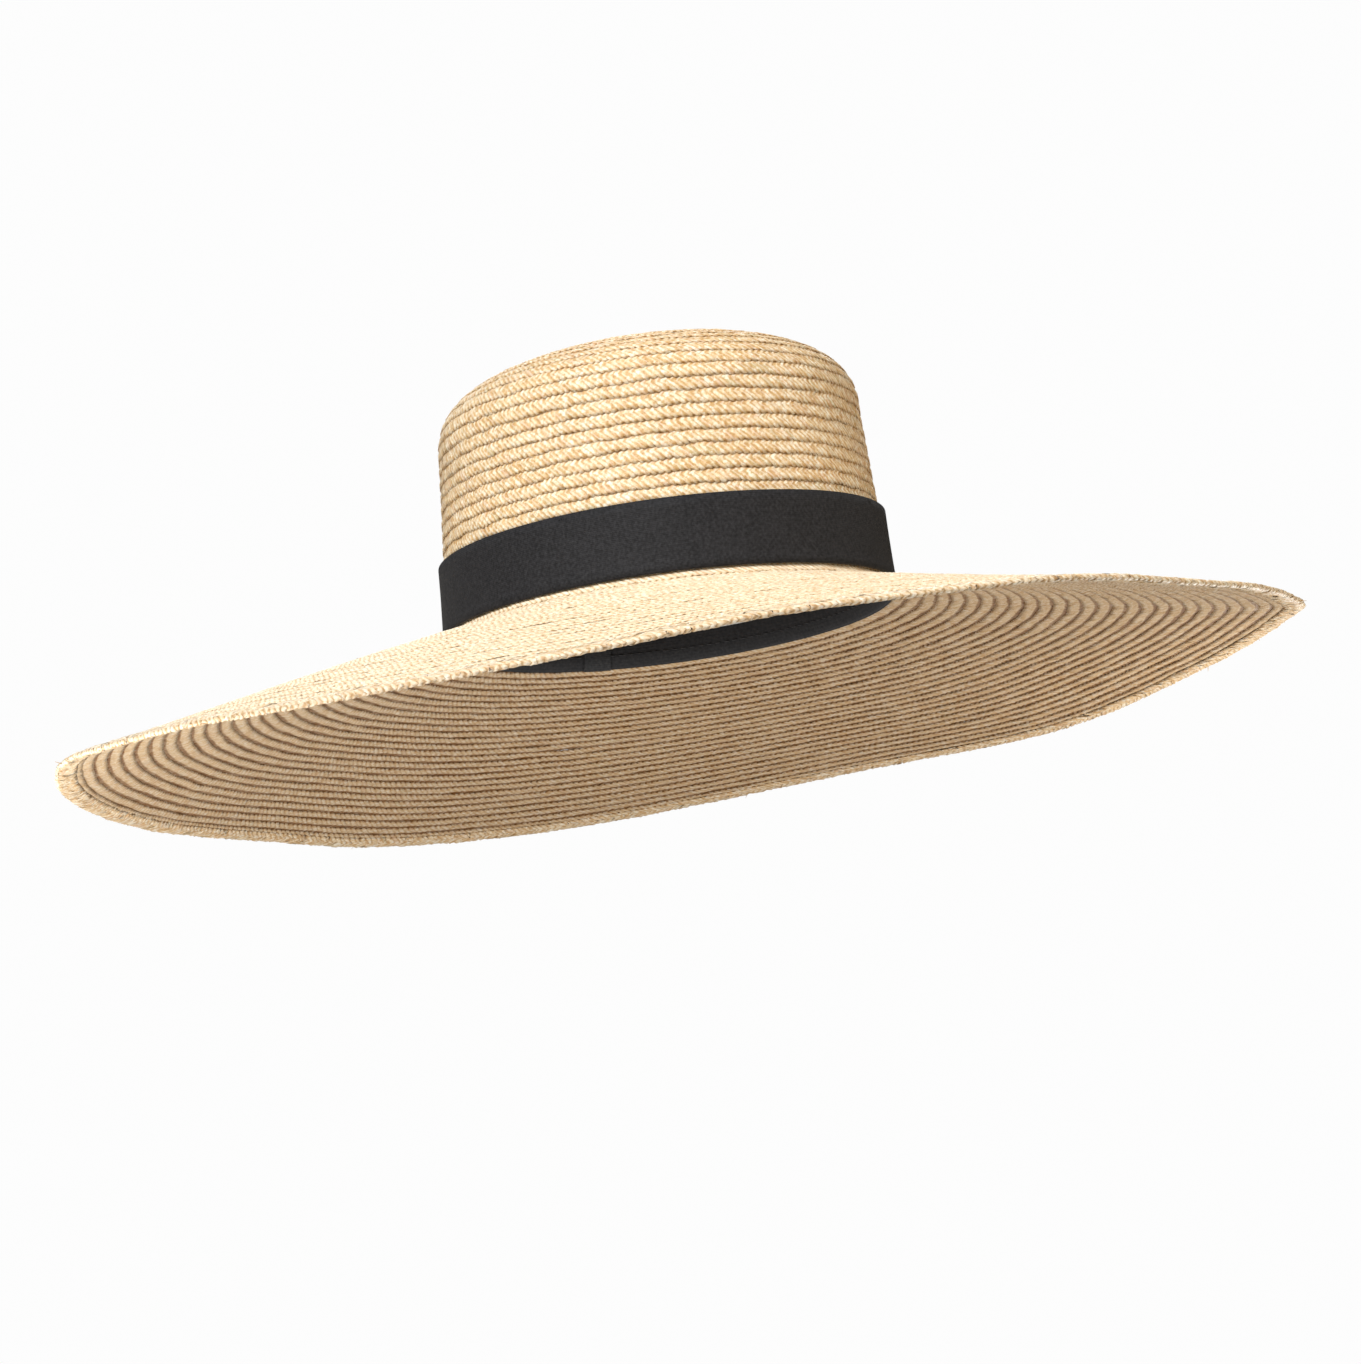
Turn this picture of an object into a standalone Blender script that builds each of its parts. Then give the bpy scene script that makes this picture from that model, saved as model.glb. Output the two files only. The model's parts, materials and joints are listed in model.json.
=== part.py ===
"""Straw sun hat, sewn from one spiral of plaited straw, with a black ribbon and a black sweatband.

Metres, +Z up along the crown, face of the hat towards -Y, wearer's left towards +X.
The hat stands on the rim of its brim, so the lowest point of the rim is at z = 0.
"""

import math

import bmesh
import bpy

# Head oval, measured on the outside of the crown where it meets the brim.
HALF_WIDTH = 0.085
LENGTH_EXTRA = 0.015
OVAL_START = 0.040

# Crown.
WALL_HEIGHT = 0.070
CROWN_HEIGHT = 0.1055
WALL_TAPER = 0.0645
SHOULDER_POWER = 2.2
STRAW_WALL = 0.0018
LAP_LEG = 0.00075
LAP_DEPTH = 0.004
TIP_FLAT = 0.012

# Brim.
BRIM_WIDTH = 0.1535
BRIM_SLOPE = 0.2314
BRIM_CURL = 0.0184
BRIM_SADDLE = 0.003
BRIM_THICK = 0.0012

# Doubled rim and the wire inside it.
RIM_RADIUS = 0.0016
RIM_LEG = 0.0007
RIM_DEPTH = 0.0062
WIRE_RADIUS = 0.0005

# Ribbon round the crown.
RIBBON_LOW = 0.0035
RIBBON_HIGH = 0.0300
RIBBON_THICK = 0.0007
KEEPER_THICK = 0.0007

# Sweatband and what is sewn to it.
BAND_LOW = -0.0010
BAND_HIGH = 0.0320
BAND_THICK = 0.0009
TAPE_THICK = 0.0005
THREAD_RADIUS = 0.0003

# Clearance between pieces that touch, and how finely the ovals are divided.
GAP = 0.0003
STEPS = 64
BACK = 16


def clear_scene():
    for item in list(bpy.data.objects):
        bpy.data.objects.remove(item, do_unlink=True)


def make_material(name, colour, roughness, metallic):
    material = bpy.data.materials.new(name)
    material.use_nodes = True
    shader = material.node_tree.nodes["Principled BSDF"]
    shader.inputs["Base Color"].default_value = (colour[0], colour[1], colour[2], 1.0)
    shader.inputs["Roughness"].default_value = roughness
    shader.inputs["Metallic"].default_value = metallic
    material.diffuse_color = (colour[0], colour[1], colour[2], 1.0)
    return material


def brim_surface(out, angle):
    """Height of the brim's top face a distance out from the crown."""
    share = out / BRIM_WIDTH
    drop = BRIM_SLOPE * out + BRIM_CURL * out * share
    return BRIM_SADDLE * share * share * math.cos(2 * angle) - drop


def rim_profile():
    """The folded last course, as (distance out, height over the brim's top face), clockwise."""
    middle = -BRIM_THICK / 2
    centre = BRIM_WIDTH - RIM_RADIUS
    inner = RIM_RADIUS - RIM_LEG
    inside_end = BRIM_WIDTH - RIM_DEPTH
    points = [(inside_end, middle + RIM_RADIUS)]
    for step in range(7):
        turn = math.pi / 2 - step * math.pi / 6
        points.append((centre + RIM_RADIUS * math.cos(turn), middle + RIM_RADIUS * math.sin(turn)))
    points.append((inside_end, middle - RIM_RADIUS))
    points.append((inside_end, middle - inner))
    for step in range(5):
        turn = -math.pi / 2 + step * math.pi / 4
        points.append((centre + inner * math.cos(turn), middle + inner * math.sin(turn)))
    points.append((inside_end, middle + inner))
    return points


def junction_height():
    """Height of the line where crown and brim meet, with the rim's lowest point at zero."""
    front = math.pi / 2
    return -min(brim_surface(out, front) + rise for out, rise in rim_profile())


JUNCTION = junction_height()


def oval_point(radius, angle, height):
    """A point of the hat: ovals that keep one extra length front to back, over the brim's fall."""
    extra = LENGTH_EXTRA * math.sin(math.pi / 2 * min(1.0, radius / OVAL_START))
    out = radius - HALF_WIDTH
    fall = brim_surface(out, angle) if out > 0 else 0.0
    x = radius * math.cos(angle)
    y = (radius + extra) * math.sin(angle)
    return (x, y, JUNCTION + height + fall)


def wall_radius(height):
    return HALF_WIDTH - WALL_TAPER * height


def shade(item):
    for polygon in item.data.polygons:
        polygon.use_smooth = True
    item.data.set_sharp_from_angle(angle=math.radians(40))


def place(item, look, collection):
    item.data.materials.clear()
    item.data.materials.append(look)
    collection.objects.link(item)
    shade(item)
    return item


def turned_mesh(name, profile, closed):
    """Turns a profile of (radius, height) round the Z axis with a Screw, and returns its mesh."""
    outline = bpy.data.meshes.new(name + "_outline")
    points = [(radius, 0.0, height) for radius, height in profile]
    edges = [(index, index + 1) for index in range(len(points) - 1)]
    if closed:
        edges.append((len(points) - 1, 0))
    outline.from_pydata(points, edges, [])
    helper = bpy.data.objects.new(name + "_outline", outline)
    bpy.context.scene.collection.objects.link(helper)
    screw = helper.modifiers.new("turn", "SCREW")
    screw.axis = "Z"
    screw.angle = 2 * math.pi
    screw.steps = STEPS
    screw.render_steps = STEPS
    screw.use_merge_vertices = True
    screw.merge_threshold = 0.00001
    screw.use_smooth_shade = True
    bpy.context.view_layer.update()
    turned = helper.evaluated_get(bpy.context.evaluated_depsgraph_get())
    mesh = bpy.data.meshes.new_from_object(turned)
    mesh.name = name
    bpy.data.objects.remove(helper, do_unlink=True)
    bpy.data.meshes.remove(outline)
    return mesh


def tidy_mesh(mesh):
    work = bmesh.new()
    work.from_mesh(mesh)
    bmesh.ops.remove_doubles(work, verts=work.verts, dist=0.00001)
    bmesh.ops.recalc_face_normals(work, faces=work.faces)
    work.to_mesh(mesh)
    work.free()


def turned(name, profile, look, collection, closed=True):
    """A turned shell, then drawn out from a circle to the head's oval and laid over the brim's fall."""
    mesh = turned_mesh(name, profile, closed)
    for vertex in mesh.vertices:
        radius = math.hypot(vertex.co.x, vertex.co.y)
        angle = math.atan2(vertex.co.y, vertex.co.x)
        vertex.co = oval_point(radius, angle, vertex.co.z)
    tidy_mesh(mesh)
    return place(bpy.data.objects.new(name, mesh), look, collection)


def strip(name, span, low, high, radius_at, thickness, look, collection):
    """A band bent round the oval: span lists its stations in steps, radius_at gives its inner face."""
    work = bmesh.new()
    bmesh.ops.create_grid(work, x_segments=len(span) - 1, y_segments=1, size=1.0)
    for vertex in work.verts:
        station = span[round((vertex.co.x + 1) / 2 * (len(span) - 1))]
        height = high if vertex.co.y > 0 else low
        angle = station * 2 * math.pi / STEPS
        vertex.co = oval_point(radius_at(station, height), angle, height)
    mesh = bpy.data.meshes.new(name)
    bmesh.ops.recalc_face_normals(work, faces=work.faces)
    work.faces.ensure_lookup_table()
    face = work.faces[0]
    centre = face.calc_center_median()
    if face.normal.x * centre.x + face.normal.y * centre.y < 0:
        bmesh.ops.reverse_faces(work, faces=work.faces)
    work.to_mesh(mesh)
    work.free()
    item = place(bpy.data.objects.new(name, mesh), look, collection)
    solid = item.modifiers.new("thickness", "SOLIDIFY")
    solid.thickness = thickness
    solid.offset = 1.0
    solid.use_even_offset = True
    return item


def stations(first, last):
    """Every whole step between two stations, with the two ends."""
    inner = [index for index in range(math.ceil(first), math.floor(last) + 1)]
    return sorted(set([first] + inner + [last]))


def shoulder(scale_radius, low, high, count):
    """Rounded shoulder from the wall's top up to the middle of the crown."""
    points = []
    for step in range(count):
        turn = math.pi / 2 * (1 - step / (count - 1))
        radius = scale_radius * max(0.0, math.cos(turn)) ** (2 / SHOULDER_POWER)
        height = low + (high - low) * max(0.0, math.sin(turn)) ** (2 / SHOULDER_POWER)
        points.append((radius, height))
    return points


def build_tip(look, collection):
    top_radius = wall_radius(WALL_HEIGHT)
    skirt = WALL_HEIGHT - LAP_DEPTH + GAP
    profile = shoulder(top_radius, WALL_HEIGHT, CROWN_HEIGHT, 9)
    profile[0] = (0.0, CROWN_HEIGHT)
    profile.append((wall_radius(skirt), skirt))
    profile.append((wall_radius(skirt) - LAP_LEG, skirt))
    profile.append((top_radius - LAP_LEG, WALL_HEIGHT + GAP))
    inside = shoulder(top_radius - STRAW_WALL, WALL_HEIGHT + GAP, CROWN_HEIGHT - STRAW_WALL, 9)
    ceiling = CROWN_HEIGHT - STRAW_WALL - 0.0004
    for radius, height in reversed(inside):
        if radius > TIP_FLAT * 1.4:
            profile.append((radius, height))
    profile.append((TIP_FLAT, ceiling))
    profile.append((0.0, ceiling))
    return turned("crown_tip", profile, look, collection, closed=False)


def build_side(look, collection):
    lap = WALL_HEIGHT - LAP_DEPTH
    inner_leg = STRAW_WALL - LAP_LEG
    profile = [(wall_radius(WALL_HEIGHT) - inner_leg, WALL_HEIGHT)]
    profile.append((wall_radius(lap) - inner_leg, lap))
    profile.append((wall_radius(lap), lap))
    profile.append((wall_radius(WALL_HEIGHT / 2), WALL_HEIGHT / 2))
    profile.append((HALF_WIDTH, GAP))
    profile.append((HALF_WIDTH - LAP_LEG, GAP))
    profile.append((wall_radius(LAP_DEPTH) - LAP_LEG, LAP_DEPTH + GAP))
    profile.append((wall_radius(LAP_DEPTH) - STRAW_WALL, LAP_DEPTH + GAP))
    profile.append((wall_radius(WALL_HEIGHT / 2) - STRAW_WALL, WALL_HEIGHT / 2))
    profile.append((wall_radius(WALL_HEIGHT) - STRAW_WALL, WALL_HEIGHT))
    return turned("crown_side", profile, look, collection)


def build_brim(look, collection):
    leg_outside = HALF_WIDTH - LAP_LEG - GAP
    edge = BRIM_WIDTH - RIM_RADIUS - WIRE_RADIUS - GAP
    profile = [(wall_radius(LAP_DEPTH) - LAP_LEG - GAP, LAP_DEPTH)]
    profile.append((leg_outside, 0.0))
    profile.append((HALF_WIDTH, 0.0))
    for share in (0.25, 0.5, 0.75, 1.0):
        profile.append((HALF_WIDTH + edge * share, 0.0))
    for share in (1.0, 0.75, 0.5, 0.25):
        profile.append((HALF_WIDTH + edge * share, -BRIM_THICK))
    profile.append((HALF_WIDTH, -BRIM_THICK))
    profile.append((HALF_WIDTH - STRAW_WALL, -BRIM_THICK))
    profile.append((wall_radius(LAP_DEPTH) - STRAW_WALL, LAP_DEPTH))
    return turned("brim", profile, look, collection)


def build_edge(look, collection):
    profile = [(HALF_WIDTH + out, rise) for out, rise in rim_profile()]
    return turned("brim_edge", profile, look, collection)


def ring_profile(radius, height, thread, corners):
    points = []
    for step in range(corners):
        turn = math.pi / 2 - step * 2 * math.pi / corners
        points.append((radius + thread * math.cos(turn), height + thread * math.sin(turn)))
    return points


def build_wire(look, collection):
    radius = HALF_WIDTH + BRIM_WIDTH - RIM_RADIUS
    profile = ring_profile(radius, -BRIM_THICK / 2, WIRE_RADIUS, 6)
    return turned("brim_wire", profile, look, collection)


def ribbon_radius(station, height):
    """The ribbon lies on the wall, and its last two steps lie over its own start."""
    lapped = station >= BACK - 1 + STEPS
    rise = RIBBON_THICK + GAP if lapped else 0.0
    return wall_radius(height) + GAP + rise


def build_ribbon(look, collection):
    span = stations(BACK - 1, BACK + 1 + STEPS)
    return strip("hat_ribbon", span, RIBBON_LOW, RIBBON_HIGH, ribbon_radius, RIBBON_THICK, look, collection)


def build_keeper(look, collection):
    def radius_at(station, height):
        return wall_radius(height) + GAP + 2 * (RIBBON_THICK + GAP)

    span = [BACK - 0.9, BACK, BACK + 0.9]
    low = RIBBON_LOW + 0.0005
    high = RIBBON_HIGH + 0.0005
    return strip("ribbon_keeper", span, low, high, radius_at, KEEPER_THICK, look, collection)


def band_radius(station, height):
    return wall_radius(height) - STRAW_WALL - GAP - BAND_THICK


def build_sweatband(look, collection):
    span = stations(BACK + 0.08, BACK - 0.08 + STEPS)
    return strip("sweatband", span, BAND_LOW, BAND_HIGH, band_radius, BAND_THICK, look, collection)


def build_band_tape(name, span, low, high, look, collection):
    def radius_at(station, height):
        return band_radius(station, height) - GAP - TAPE_THICK

    return strip(name, span, low, high, radius_at, TAPE_THICK, look, collection)


def build_band_thread(look, collection):
    height = 0.0015
    radius = band_radius(0, height) - GAP - THREAD_RADIUS
    gap_low = build_thread_span(radius, height)
    mesh = bpy.data.meshes.new("sweatband_thread")
    gap_low.to_mesh(mesh)
    gap_low.free()
    return place(bpy.data.objects.new("sweatband_thread", mesh), look, collection)


def build_thread_span(radius, height):
    """A closed thread that runs once round the oval and stops short of the back tape."""
    corners = 6
    span = stations(BACK + 0.9, BACK - 0.9 + STEPS)
    work = bmesh.new()
    rings = []
    for station in span:
        angle = station * 2 * math.pi / STEPS
        ring = []
        for across, up in ring_profile(radius, height, THREAD_RADIUS, corners):
            ring.append(work.verts.new(oval_point(across, angle, up)))
        rings.append(ring)
    for first, second in zip(rings, rings[1:]):
        for side in range(corners):
            following = (side + 1) % corners
            work.faces.new((first[side], first[following], second[following], second[side]))
    work.faces.new(rings[0])
    work.faces.new(list(reversed(rings[-1])))
    bmesh.ops.recalc_face_normals(work, faces=work.faces)
    return work


def build_tack(name, station, look, collection):
    """A short upright bar of thread that holds the ribbon's top edge to the crown."""
    angle = station * 2 * math.pi / STEPS
    height = RIBBON_HIGH - 0.0035
    radius = wall_radius(height - 0.002) + 2 * GAP + RIBBON_THICK + THREAD_RADIUS
    work = bmesh.new()
    bmesh.ops.create_cone(
        work,
        cap_ends=True,
        segments=8,
        radius1=THREAD_RADIUS,
        radius2=THREAD_RADIUS,
        depth=0.004,
    )
    centre = oval_point(radius, angle, height)
    bmesh.ops.translate(work, verts=work.verts, vec=centre)
    mesh = bpy.data.meshes.new(name)
    work.to_mesh(mesh)
    work.free()
    return place(bpy.data.objects.new(name, mesh), look, collection)


def build_hat():
    clear_scene()
    collection = bpy.data.collections.new("straw_sun_hat")
    bpy.context.scene.collection.children.link(collection)
    straw = (0.70, 0.50, 0.25)
    black = (0.012, 0.012, 0.014)
    build_tip(make_material("crown_tip", straw, 0.55, 0.0), collection)
    build_side(make_material("crown_side", (0.68, 0.48, 0.23), 0.55, 0.0), collection)
    build_brim(make_material("brim", (0.72, 0.54, 0.30), 0.55, 0.0), collection)
    build_edge(make_material("brim_edge", (0.66, 0.47, 0.24), 0.6, 0.0), collection)
    build_wire(make_material("brim_wire", (0.55, 0.55, 0.56), 0.35, 1.0), collection)
    build_ribbon(make_material("hat_ribbon", black, 0.75, 0.0), collection)
    build_keeper(make_material("ribbon_keeper", black, 0.75, 0.0), collection)
    build_sweatband(make_material("sweatband", (0.015, 0.015, 0.016), 0.85, 0.0), collection)
    tape = make_material("sweatband_join", (0.018, 0.018, 0.019), 0.85, 0.0)
    tape_span = [BACK - 0.6, BACK, BACK + 0.6]
    build_band_tape("sweatband_join", tape_span, BAND_LOW, BAND_HIGH, tape, collection)
    label = make_material("size_label", (0.72, 0.70, 0.66), 0.8, 0.0)
    build_band_tape("size_label", [8, 9, 10], 0.010, 0.022, label, collection)
    build_band_thread(make_material("sweatband_thread", (0.02, 0.02, 0.02), 0.7, 0.0), collection)
    for name, station in (("left", 8), ("back", 24), ("right", 40), ("front", 56)):
        look = make_material("ribbon_tack_" + name, (0.02, 0.02, 0.02), 0.7, 0.0)
        build_tack("ribbon_tack_" + name, station, look, collection)


build_hat()
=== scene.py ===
import json
import math

import bmesh
import bpy
from mathutils import Matrix, Vector

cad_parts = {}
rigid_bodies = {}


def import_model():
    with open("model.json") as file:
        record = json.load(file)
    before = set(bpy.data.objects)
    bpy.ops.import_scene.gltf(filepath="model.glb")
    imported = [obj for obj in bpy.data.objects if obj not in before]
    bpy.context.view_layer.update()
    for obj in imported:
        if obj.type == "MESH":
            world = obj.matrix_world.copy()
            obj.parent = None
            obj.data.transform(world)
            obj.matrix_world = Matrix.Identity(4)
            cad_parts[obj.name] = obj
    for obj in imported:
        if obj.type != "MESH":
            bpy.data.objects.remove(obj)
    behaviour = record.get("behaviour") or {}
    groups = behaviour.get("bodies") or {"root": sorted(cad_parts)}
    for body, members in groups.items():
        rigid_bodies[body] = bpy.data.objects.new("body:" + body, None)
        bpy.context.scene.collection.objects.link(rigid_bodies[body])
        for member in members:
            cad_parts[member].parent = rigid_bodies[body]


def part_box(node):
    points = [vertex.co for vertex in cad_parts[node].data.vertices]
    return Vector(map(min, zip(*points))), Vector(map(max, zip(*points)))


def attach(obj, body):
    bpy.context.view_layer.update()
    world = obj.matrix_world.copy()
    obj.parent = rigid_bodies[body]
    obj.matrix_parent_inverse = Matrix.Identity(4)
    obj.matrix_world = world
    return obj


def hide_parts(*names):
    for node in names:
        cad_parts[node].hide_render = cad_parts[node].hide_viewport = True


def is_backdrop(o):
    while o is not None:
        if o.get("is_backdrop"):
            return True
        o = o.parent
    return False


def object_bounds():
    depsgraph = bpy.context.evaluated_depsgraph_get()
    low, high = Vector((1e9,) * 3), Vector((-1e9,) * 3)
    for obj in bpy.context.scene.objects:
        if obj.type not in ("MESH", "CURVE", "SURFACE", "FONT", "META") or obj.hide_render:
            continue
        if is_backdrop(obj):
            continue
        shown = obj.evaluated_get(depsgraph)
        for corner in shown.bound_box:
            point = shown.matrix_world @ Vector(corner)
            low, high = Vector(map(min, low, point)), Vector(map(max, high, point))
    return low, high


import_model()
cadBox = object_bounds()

# places of the main parts, read from the frame
sideLow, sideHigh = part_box("crown_side")
tipLow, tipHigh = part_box("crown_tip")
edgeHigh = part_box("brim_edge")[1]
ribbonLow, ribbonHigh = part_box("hat_ribbon")
bandLow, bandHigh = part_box("sweatband")

hat = {
    "halfWidth": sideHigh.x,  # head oval at the foot of the crown
    "lengthExtra": sideHigh.y - sideHigh.x,
    "ovalStart": 0.040,  # nearer the middle than this, the courses turn from oval to round
    "foot": sideLow.z - 0.0003,  # where crown and brim meet
    "wallTop": sideHigh.z,
    "top": tipHigh.z - 0.0026,  # the tip of a worn crown sinks a little
    "taper": (sideHigh.x - tipHigh.x) / (tipLow.z - sideLow.z),
    "shoulderPower": 2.9,  # 2 is a round shoulder, more is squarer
    "lean": 0.0020,  # how far the right side of the tip is pressed down
    "brimWidth": edgeHigh.x - sideHigh.x,
    "brimSlope": 0.2314,
    "brimCurl": 0.0184,
    "wallMiddle": 0.0009,  # from the outside of the crown in to the middle of the straw
    "brimMiddle": 0.0006,
    "fold": 0.005,  # how far the turn from wall to brim reaches each way
    "spareEdge": 0.02,  # a little past the rim, so that the doubled edge has a line to follow
    "tipSteps": 64,
    "foldSteps": 8,
    "brimSteps": 24,
}

# how far the soft brim leaves a plain cone, at its rim: waves per turn, height, starting angle
brimWaves = [
    (1, 0.0082, 0.248),
    (2, 0.0038, 0.675),
    (3, 0.0022, -2.034),
    (5, 0.0007, 0.6),
    (8, 0.0005, 2.1),
    (13, 0.0003, 4.0),
]

# places where the rim is pushed up or down by hand: angle round the hat, height, sharpness
brimDents = [
    (3.12, 0.0062, 12),
    (-0.12, 0.0050, 14),
    (0.54, -0.0032, 40),
    (-1.03, -0.0022, 40),
    (0.92, 0.0018, 60),
]


class Wire:
    # one socket, so that sums on it can be written as sums
    def __init__(self, bench, socket):
        self.bench = bench
        self.socket = socket

    def out(self, name):
        return Wire(self.bench, pickSocket(self.socket.node.outputs, name))

    def maths(self, operation, *others):
        values = dict(enumerate((self,) + others))
        return self.bench.add("ShaderNodeMath", {"operation": operation}, values)

    def __add__(self, other):
        return self.maths("ADD", other)

    def __radd__(self, other):
        return self.maths("ADD", other)

    def __mul__(self, other):
        return self.maths("MULTIPLY", other)

    def __rmul__(self, other):
        return self.maths("MULTIPLY", other)

    def __sub__(self, other):
        return self.maths("SUBTRACT", other)

    def __rsub__(self, other):
        return self.bench.add("ShaderNodeMath", {"operation": "SUBTRACT"}, {0: other, 1: self})

    def __truediv__(self, other):
        return self.maths("DIVIDE", other)

    def __pow__(self, other):
        return self.maths("POWER", other)

    def sine(self):
        return self.maths("SINE")

    def cosine(self):
        return self.maths("COSINE")

    def floor(self):
        return self.maths("FLOOR")

    def fraction(self):
        return self.maths("FRACT")

    def size(self):
        return self.maths("ABSOLUTE")

    def least(self, other):
        return self.maths("MINIMUM", other)

    def most(self, other):
        return self.maths("MAXIMUM", other)

    def held(self):
        # never under 0 or over 1
        return self.most(0.0).least(1.0)

    def over(self, other):
        return self.maths("GREATER_THAN", other)

    def under(self, other):
        return self.maths("LESS_THAN", other)


def pickSocket(sockets, name):
    if isinstance(name, int):
        return sockets[name]
    found = [socket for socket in sockets if socket.name == name and socket.enabled]
    return found[0] if found else sockets[name]


class Bench:
    # builds one node tree
    def __init__(self, tree):
        self.tree = tree

    def add(self, kind, settings=None, values=None, output=0):
        node = self.tree.nodes.new(kind)
        for name, value in (settings or {}).items():
            if name == "stops":
                fillRamp(node.color_ramp, value)
            else:
                setattr(node, name, value)
        for name, value in (values or {}).items():
            socket = pickSocket(node.inputs, name)
            if isinstance(value, Wire):
                self.tree.links.new(value.socket, socket)
            else:
                socket.default_value = value
        if isinstance(output, str):
            return Wire(self, pickSocket(node.outputs, output))
        shown = [socket for socket in node.outputs if socket.enabled]
        return Wire(self, shown[output]) if shown else None

    def vector(self, x, y, z):
        return self.add("ShaderNodeCombineXYZ", {}, {"X": x, "Y": y, "Z": z})

    def parts(self, vector):
        split = self.add("ShaderNodeSeparateXYZ", {}, {"Vector": vector})
        return split, split.out("Y"), split.out("Z")

    def blend(self, share, first, second):
        settings = {"data_type": "RGBA", "blend_type": "MIX"}
        values = {"Factor": share, "A": first, "B": second}
        return self.add("ShaderNodeMix", settings, values, "Result")

    def noise(self, vector, scale, detail, roughness=0.5):
        values = {"Vector": vector, "Scale": scale, "Detail": detail, "Roughness": roughness}
        return self.add("ShaderNodeTexNoise", {}, values)

    def vectorMaths(self, operation, *vectors):
        values = dict(enumerate(vectors))
        return self.add("ShaderNodeVectorMath", {"operation": operation}, values)


def fillRamp(ramp, stops):
    while len(ramp.elements) > 1:
        ramp.elements.remove(ramp.elements[-1])
    ramp.elements[0].position, ramp.elements[0].color = stops[0]
    for place, colour in stops[1:]:
        ramp.elements.new(place).color = colour


# the meridian: half of a section through the hat, middle of the crown to rim

def wallRadius(height):
    return hat["halfWidth"] - hat["wallMiddle"] - hat["taper"] * height


def brimDrop(out):
    return hat["brimSlope"] * out + hat["brimCurl"] * out * out / hat["brimWidth"]


def bend(share, start, corner, finish):
    # a point on the smooth turn from start to finish that aims at the corner
    first, middle, last = (1 - share) ** 2, 2 * share * (1 - share), share * share
    return tuple(first * a + middle * b + last * c for a, b, c in zip(start, corner, finish))


def meridian():
    points = []
    rise = hat["wallTop"] - hat["foot"]
    tipRise = hat["top"] - hat["wallMiddle"] - hat["wallTop"]
    power = 2 / hat["shoulderPower"]
    for step in range(hat["tipSteps"] + 1):
        turn = math.pi / 2 * step / hat["tipSteps"]
        radius = wallRadius(rise) * math.sin(turn) ** power
        height = tipRise * max(0.0, math.cos(turn)) ** power
        points.append((radius, hat["wallTop"] + height))
    marks = {"wallTop": len(points) - 1}
    points.append((wallRadius(rise / 2), hat["foot"] + rise / 2))
    brimTop = hat["foot"] - hat["brimMiddle"]
    start = (wallRadius(hat["fold"]), hat["foot"] + hat["fold"])
    corner = (wallRadius(0), brimTop)
    finish = (wallRadius(0) + hat["fold"], brimTop - brimDrop(hat["fold"]))
    for step in range(hat["foldSteps"] + 1):
        points.append(bend(step / hat["foldSteps"], start, corner, finish))
    marks["foot"] = len(points) - 1 - hat["foldSteps"] // 2
    reach = hat["brimWidth"] + hat["wallMiddle"]
    for step in range(1, hat["brimSteps"] + 1):
        out = hat["fold"] + (reach - hat["fold"]) * step / hat["brimSteps"]
        points.append((wallRadius(0) + out, brimTop - brimDrop(out)))
    marks["rim"] = len(points) - 1
    extra = hat["spareEdge"]
    lastSlope = hat["brimSlope"] + 2 * hat["brimCurl"]
    points.append((points[-1][0] + extra, points[-1][1] - extra * lastSlope))
    lengths = [0.0]
    for first, second in zip(points, points[1:]):
        lengths.append(lengths[-1] + math.dist(first, second))
    return points, {name: lengths[index] for name, index in marks.items()}


def lineObject(name, points, closed=False, shifts=None, sides=None):
    # shifts and sides ride in the points' tilt and radius, and a radius can't be under 0
    curve = bpy.data.curves.new(name, "CURVE")
    curve.dimensions = "3D"
    spline = curve.splines.new("POLY")
    spline.points.add(len(points) - 1)
    for index, point in enumerate(points):
        spline.points[index].co = (point[0], point[1], point[2], 1)
        spline.points[index].tilt = shifts[index] if shifts else 0
        spline.points[index].radius = (sides[index] + 1) / 2 if sides else 1
    spline.use_cyclic_u = closed
    item = bpy.data.objects.new(name, curve)
    bpy.context.scene.collection.objects.link(item)
    return item


meridianLine, lengthAt = meridian()
meridianGuide = lineObject("meridianGuide", [(radius, 0, height) for radius, height in meridianLine])
print("meridian", {name: round(value, 4) for name, value in lengthAt.items()})


# node groups shared by everything that is laid on the hat

def newGroup(name, inputs, outputs):
    # an input is given by its kind, or by the number that it starts with
    tree = bpy.data.node_groups.new(name, "GeometryNodeTree")
    for label, start in inputs.items():
        kind = start if isinstance(start, str) else "Int" if isinstance(start, int) else "Float"
        socket = tree.interface.new_socket(label, in_out="INPUT", socket_type="NodeSocket" + kind)
        if kind in ("Int", "Float"):
            socket.default_value = start
    for label, kind in outputs.items():
        tree.interface.new_socket(label, in_out="OUTPUT", socket_type="NodeSocket" + kind)
    bench = Bench(tree)
    given = tree.nodes.new("NodeGroupInput")
    result = tree.nodes.new("NodeGroupOutput")
    values = {label: Wire(bench, given.outputs[label]) for label in inputs}
    return bench, values, result


def finishGroup(bench, result, **wires):
    for label, wire in wires.items():
        bench.tree.links.new(wire.socket, result.inputs[label])
    return bench.tree


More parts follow.
